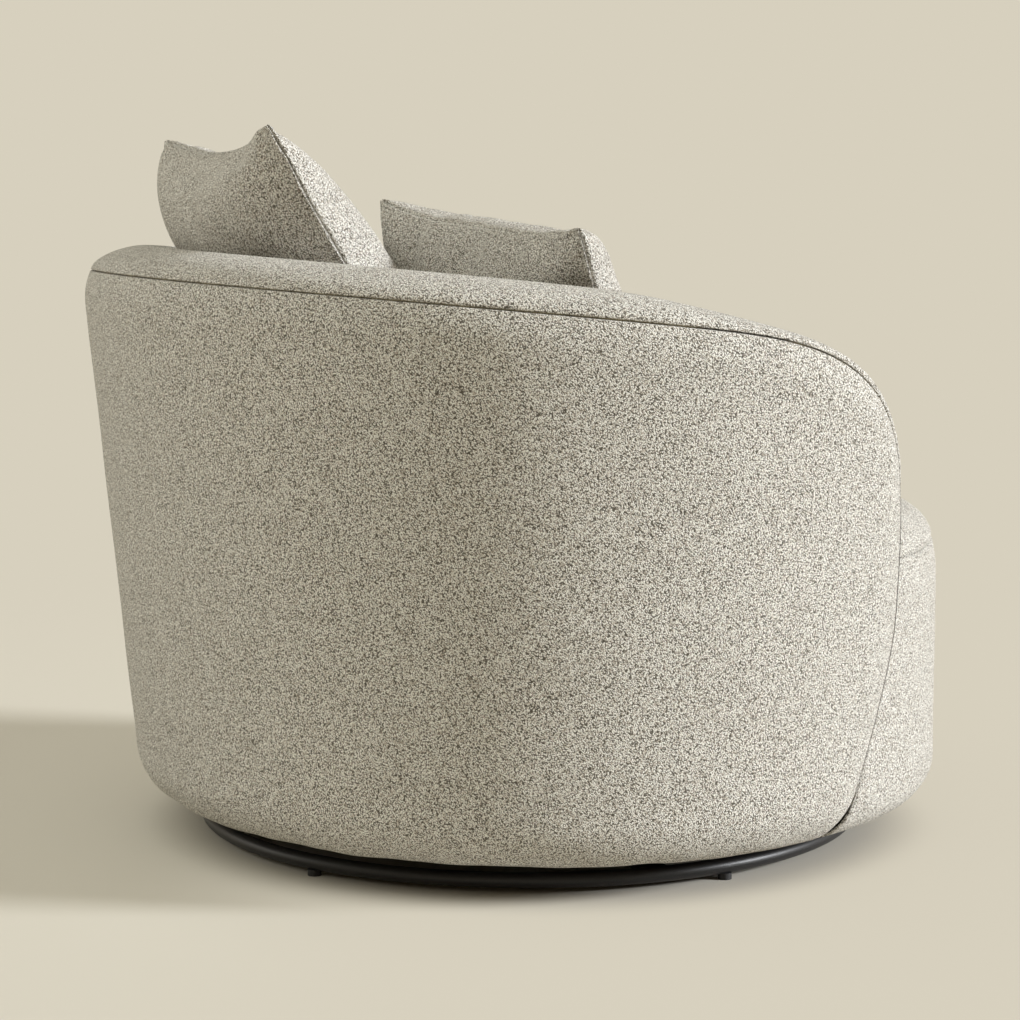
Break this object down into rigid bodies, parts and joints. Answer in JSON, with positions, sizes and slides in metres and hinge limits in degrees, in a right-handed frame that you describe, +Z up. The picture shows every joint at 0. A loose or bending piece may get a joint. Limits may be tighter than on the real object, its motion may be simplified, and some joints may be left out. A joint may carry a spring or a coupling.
{
  "type": "swivel tub chair",
  "caption": "Deep round tub chair with an upholstered shell, a drum-fronted seat and loose cushions, turning on a low black ring base.",
  "frame": {"origin": "on the swivel axis, at floor level, where the glides rest", "axes": "+Z up along the swivel axis, -Y towards the chair's front, +X towards the sitter's left"},
  "size_m": [1.202, 1.1048, 0.9154],
  "materials": {
    "chair_fabric": "looped woven upholstery fabric, mottled grey and beige",
    "pillow_fabric": "the same looped fabric on the loose cushions",
    "fibre": "white polyester fibre",
    "foam": "open polyurethane foam",
    "plywood": "raw plywood",
    "fibreboard": "raw hardboard",
    "lining": "plain non-woven cloth",
    "black_metal": "black powder coat with a low sheen",
    "steel": "zinc-plated steel",
    "cage": "moulded nylon",
    "glide": "hard black plastic",
    "zip": "woven tape with a moulded coil"
  },
  "bodies": {
    "base": {"base_ring": "black_metal", "base_spoke_1": "black_metal", "base_spoke_2": "black_metal", "base_spoke_3": "black_metal", "base_spoke_4": "black_metal", "hub_plate": "black_metal", "hub_bolts": "steel", "hub_nuts": "steel", "glides": "glide", "glide_screws": "steel", "lower_swivel_plate": "steel", "ball_cage": "cage", "bearing_balls": "steel", "pivot_bolt": "steel", "pivot_washer": "steel", "pivot_nut": "steel"},
    "chair": {"upper_swivel_plate": "steel", "plate_bolts": "steel", "tee_nuts": "steel", "bottom_board": "plywood", "dust_cover": "lining", "rib_1": "plywood", "rib_2": "plywood", "rib_3": "plywood", "rib_4": "plywood", "rib_5": "plywood", "rib_6": "plywood", "rib_7": "plywood", "rib_8": "plywood", "rib_9": "plywood", "arm_post_right": "plywood", "arm_post_left": "plywood", "top_rail": "plywood", "seat_frame": "plywood", "front_studs": "plywood", "front_board": "fibreboard", "seat_springs": "steel", "spring_clips": "steel", "deck_cloth": "lining", "seat_foam": "foam", "seat_wadding": "fibre", "seat_top_cover": "chair_fabric", "seat_border_cover": "chair_fabric", "front_foam": "foam", "outer_board": "fibreboard", "outer_foam": "foam", "outer_cover": "chair_fabric", "inner_board": "fibreboard", "inner_foam": "foam", "inner_cover": "chair_fabric", "rim_foam": "foam", "rim_band_cover": "chair_fabric"},
    "back_cushion": {"back_cushion_insert": "fibre", "back_cushion_cover": "pillow_fabric", "back_cushion_zip": "zip"},
    "lumbar_cushion": {"lumbar_cushion_insert": "fibre", "lumbar_cushion_cover": "pillow_fabric", "lumbar_cushion_zip": "zip"}
  },
  "joints": [
    {"name": "swivel", "type": "hinge", "parent": "base", "child": "chair", "pos_m": [0, 0, 0], "axis": [0, 0, 1], "continuous": true},
    {"name": "back_cushion_lift", "type": "slide", "parent": "chair", "child": "back_cushion", "axis": [0, 0.5075, 0.8616], "range_m": [0, 0.3]},
    {"name": "lumbar_cushion_lift", "type": "slide", "parent": "chair", "child": "lumbar_cushion", "axis": [-0.067, 0.3686, 0.9272], "range_m": [0, 0.3]}
  ]
}
